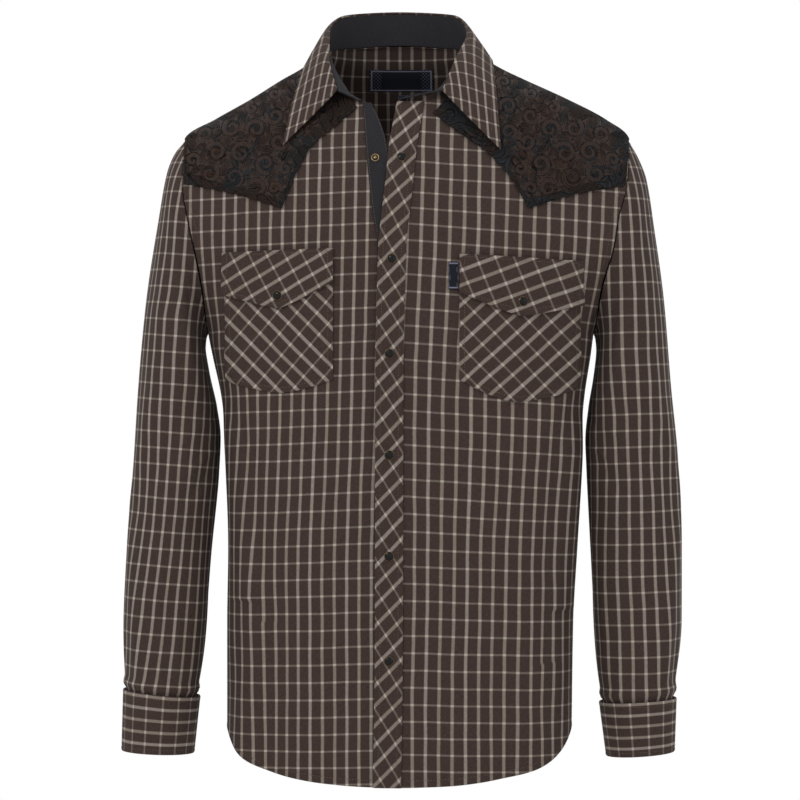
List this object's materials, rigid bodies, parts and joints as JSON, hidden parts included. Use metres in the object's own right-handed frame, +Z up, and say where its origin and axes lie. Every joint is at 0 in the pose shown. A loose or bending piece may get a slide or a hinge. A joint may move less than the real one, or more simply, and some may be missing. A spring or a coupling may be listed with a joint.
{
  "type": "western snap shirt",
  "caption": "Long-sleeved western shirt in brown windowpane plaid with dark embroidered pointed yokes, bias placket, flap pockets and black snaps, open at neck, hem and cuffs.",
  "frame": {"origin": "middle of the neck opening where the wearer's shoulders hold the shirt, level with the yoke's inside seam", "axes": "+Z up from the hem to the collar, -Y out of the front, +X towards the wearer's left sleeve"},
  "size_m": [0.6019, 0.2581, 0.84],
  "materials": {
    "plaid_cloth": "brushed plain-weave cotton, dark brown with sand windowpane lines",
    "yoke_cloth": "charcoal denim with tone-on-tone brown embroidery",
    "chambray_cloth": "matt charcoal chambray",
    "label_cloth": "smooth woven label tape",
    "snap_enamel": "glossy black domed cap",
    "snap_brass": "antique brass"
  },
  "bodies": {
    "root": {"front_right": "plaid_cloth", "front_left": "plaid_cloth", "back": "plaid_cloth", "yoke_lining": "plaid_cloth", "yoke_front_right": "yoke_cloth", "yoke_front_left": "yoke_cloth", "yoke_back": "yoke_cloth", "placket_under": "chambray_cloth", "placket_over": "plaid_cloth", "collar_stand": "chambray_cloth", "collar_leaf": "plaid_cloth", "sleeve_right": "plaid_cloth", "sleeve_left": "plaid_cloth", "cuff_right": "plaid_cloth", "cuff_left": "plaid_cloth", "sleeve_placket_right": "plaid_cloth", "sleeve_placket_left": "plaid_cloth", "pocket_right": "plaid_cloth", "pocket_left": "plaid_cloth", "flap_right": "plaid_cloth", "flap_left": "plaid_cloth", "snap_1": "snap_enamel", "snap_2": "snap_enamel", "snap_3": "snap_enamel", "snap_4": "snap_enamel", "snap_5": "snap_enamel", "snap_6": "snap_enamel", "pocket_snap_right": "snap_enamel", "pocket_snap_left": "snap_enamel", "cuff_snap_right_1": "snap_enamel", "cuff_snap_right_2": "snap_enamel", "cuff_snap_left_1": "snap_enamel", "cuff_snap_left_2": "snap_enamel", "open_stud": "snap_brass", "neck_label": "label_cloth", "size_tab": "label_cloth", "pocket_tab": "label_cloth"}
  },
  "joints": []
}
